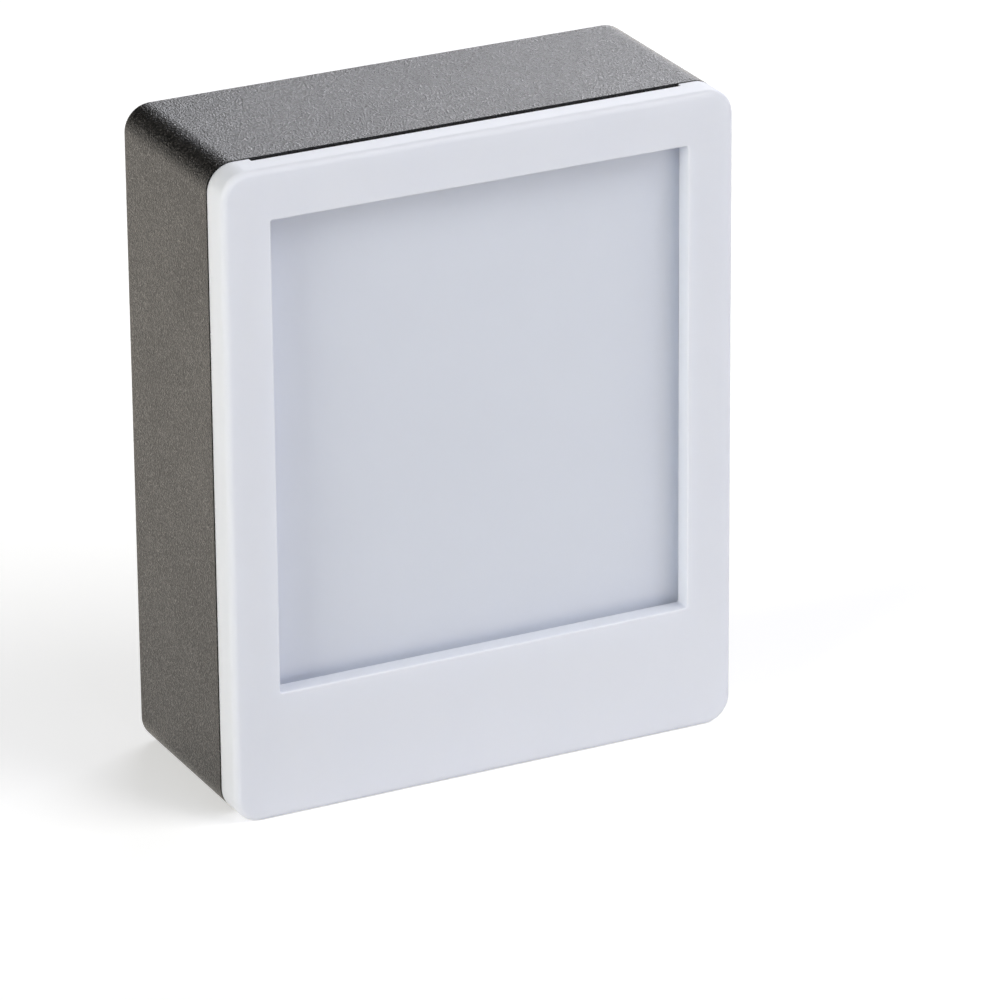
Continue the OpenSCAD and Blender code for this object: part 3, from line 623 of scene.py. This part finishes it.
def make_solder():
    """Solder where each lead meets a contact's tab, a switch terminal or the board."""
    up = Vector((0, 0, 1))
    back = Vector((0, 1, 0))
    middle = node_end("switch_terminals", -back)
    outer = Vector((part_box("switch_terminals")[0].x + TERMINAL_W / 2, middle.y, middle.z))
    joints = [
        (SOLDER_BEAD, node_end("positive_contact", up), up),
        (SOLDER_BEAD, node_end("negative_contact", -up), -up),
        (SOLDER_BEAD, outer, -back),
        (SOLDER_BEAD, middle, -back),
        (SOLDER_CONE, node_end("switch_board_lead", -back), back),
        (SOLDER_CONE, node_end("battery_board_lead", -back), back),
    ]
    metal = plated("solder", (0.62, 0.62, 0.60), 0.26, 0.3 * MM, (1, 1, 1))
    for number, (profile, place, along) in enumerate(joints, 1):
        joint = loft(turned(profile, place, along))
        add_piece(f"solder_{number}", joint, metal, smooth=True)


# Studio


def make_camera():
    right = Vector((math.cos(CAMERA_AZIMUTH), math.sin(CAMERA_AZIMUTH), 0))
    back = Vector((
        math.sin(CAMERA_AZIMUTH) * math.cos(CAMERA_ELEVATION),
        -math.cos(CAMERA_AZIMUTH) * math.cos(CAMERA_ELEVATION),
        math.sin(CAMERA_ELEVATION),
    ))
    up = back.cross(right)
    c = math.cos(CAMERA_ROLL)
    s = math.sin(CAMERA_ROLL)
    matrix = Matrix((c * right + s * up, c * up - s * right, back)).transposed().to_4x4()
    matrix.translation = CAMERA_TARGET + CAMERA_DISTANCE * back
    data = bpy.data.cameras.new("camera")
    data.lens = CAMERA_LENS
    data.sensor_width = CAMERA_SENSOR
    data.clip_start = CAMERA_CLIP
    camera = bpy.data.objects.new("camera", data)
    camera.matrix_world = matrix
    bpy.context.scene.collection.objects.link(camera)
    bpy.context.scene.camera = camera


def make_world():
    """Soft light from all round. The camera sees white, and mirrors see a dim room.

    In mirrors the room is pale low down and on the right.
    """
    g = Graph(bpy.data.worlds.new("studio"), "ShaderNodeOutputWorld")
    split = g.add("SeparateXYZ")
    g.feed(split.inputs[0], g.add("TexCoord").outputs["Generated"])
    low = g.span(split.outputs["Z"], *SKY_LOW, SKY_LOW_WHITE, SKY_DIM)
    right = g.span(split.outputs["X"], *SKY_RIGHT, SKY_DIM, SKY_RIGHT_WHITE)
    light = g.add("Background")
    g.feed(light.inputs["Color"], WHITE)
    g.feed(light.inputs["Strength"], SKY_LIGHT)
    shown = g.add("Background")
    g.feed(shown.inputs["Color"], WHITE)
    g.feed(shown.inputs["Strength"], g.any(g.rays("Camera"), low, right))
    seen = g.rays("Camera", "Glossy", "Transmission")
    bpy.context.scene.world = g.done(g.mix(seen, light.outputs[0], shown.outputs[0]))


def floor_material():
    """Pale matt floor that keeps the shadow. Straight and mirrored rays see it lifted towards white.

    It is a little warm in mirrored rays, and quite white to the camera far from the object.
    """
    g = material_graph("floor")
    colour = g.blend(g.rays("Glossy"), FLOOR_COLOUR, FLOOR_WARM)
    paint = g.principled(Base_Color=colour, Roughness=0.9, Specular_IOR_Level=0.0)
    glow = g.add("Emission")
    far = g.add("VectorMath", operation="LENGTH")
    g.feed(far.inputs[0], g.place())
    lift = g.span(far.outputs["Value"], *FLOOR_FAR, FLOOR_LIFT, 1.0)
    straight = g.math("MULTIPLY", g.rays("Camera"), lift)
    mirrored = g.math("MULTIPLY", g.rays("Glossy", "Transmission"), FLOOR_LIFT)
    g.feed(glow.inputs["Strength"], g.any(straight, mirrored))
    both = g.add("AddShader")
    g.feed(both.inputs[0], paint)
    g.feed(both.inputs[1], glow.outputs[0])
    return g.done(both.outputs[0])


def make_floor():
    half = FLOOR_SIZE / 2
    mesh = bpy.data.meshes.new("floor")
    mesh.from_pydata(
        [(-half, -half, 0), (half, -half, 0), (half, half, 0), (-half, half, 0)], [], [(0, 1, 2, 3)]
    )
    mesh.materials.append(floor_material())
    floor = bpy.data.objects.new("floor", mesh)
    bpy.context.scene.collection.objects.link(floor)


def softbox(name, place, aim, size, radiance, colour, mirrored):
    """A rectangular lamp that faces a point, seen in mirrored rays or not.

    Its power follows from its size and its face's radiance.
    """
    data = bpy.data.lights.new(name, "AREA")
    data.shape = "RECTANGLE"
    data.size, data.size_y = size
    data.energy = radiance * math.pi * size[0] * size[1]
    data.color = colour
    lamp = bpy.data.objects.new(name, data)
    lamp.visible_glossy = mirrored
    lamp.location = place
    lamp.rotation_euler = (Vector(aim) - Vector(place)).to_track_quat("-Z", "Y").to_euler()
    bpy.context.scene.collection.objects.link(lamp)


def make_lights():
    for name, settings in SOFTBOXES.items():
        softbox(name, **settings)


black_plastic = dress_all()
make_signs(black_plastic)
make_solder()
make_camera()
make_world()
make_floor()
make_lights()
bpy.context.scene.view_settings.view_transform = "Standard"
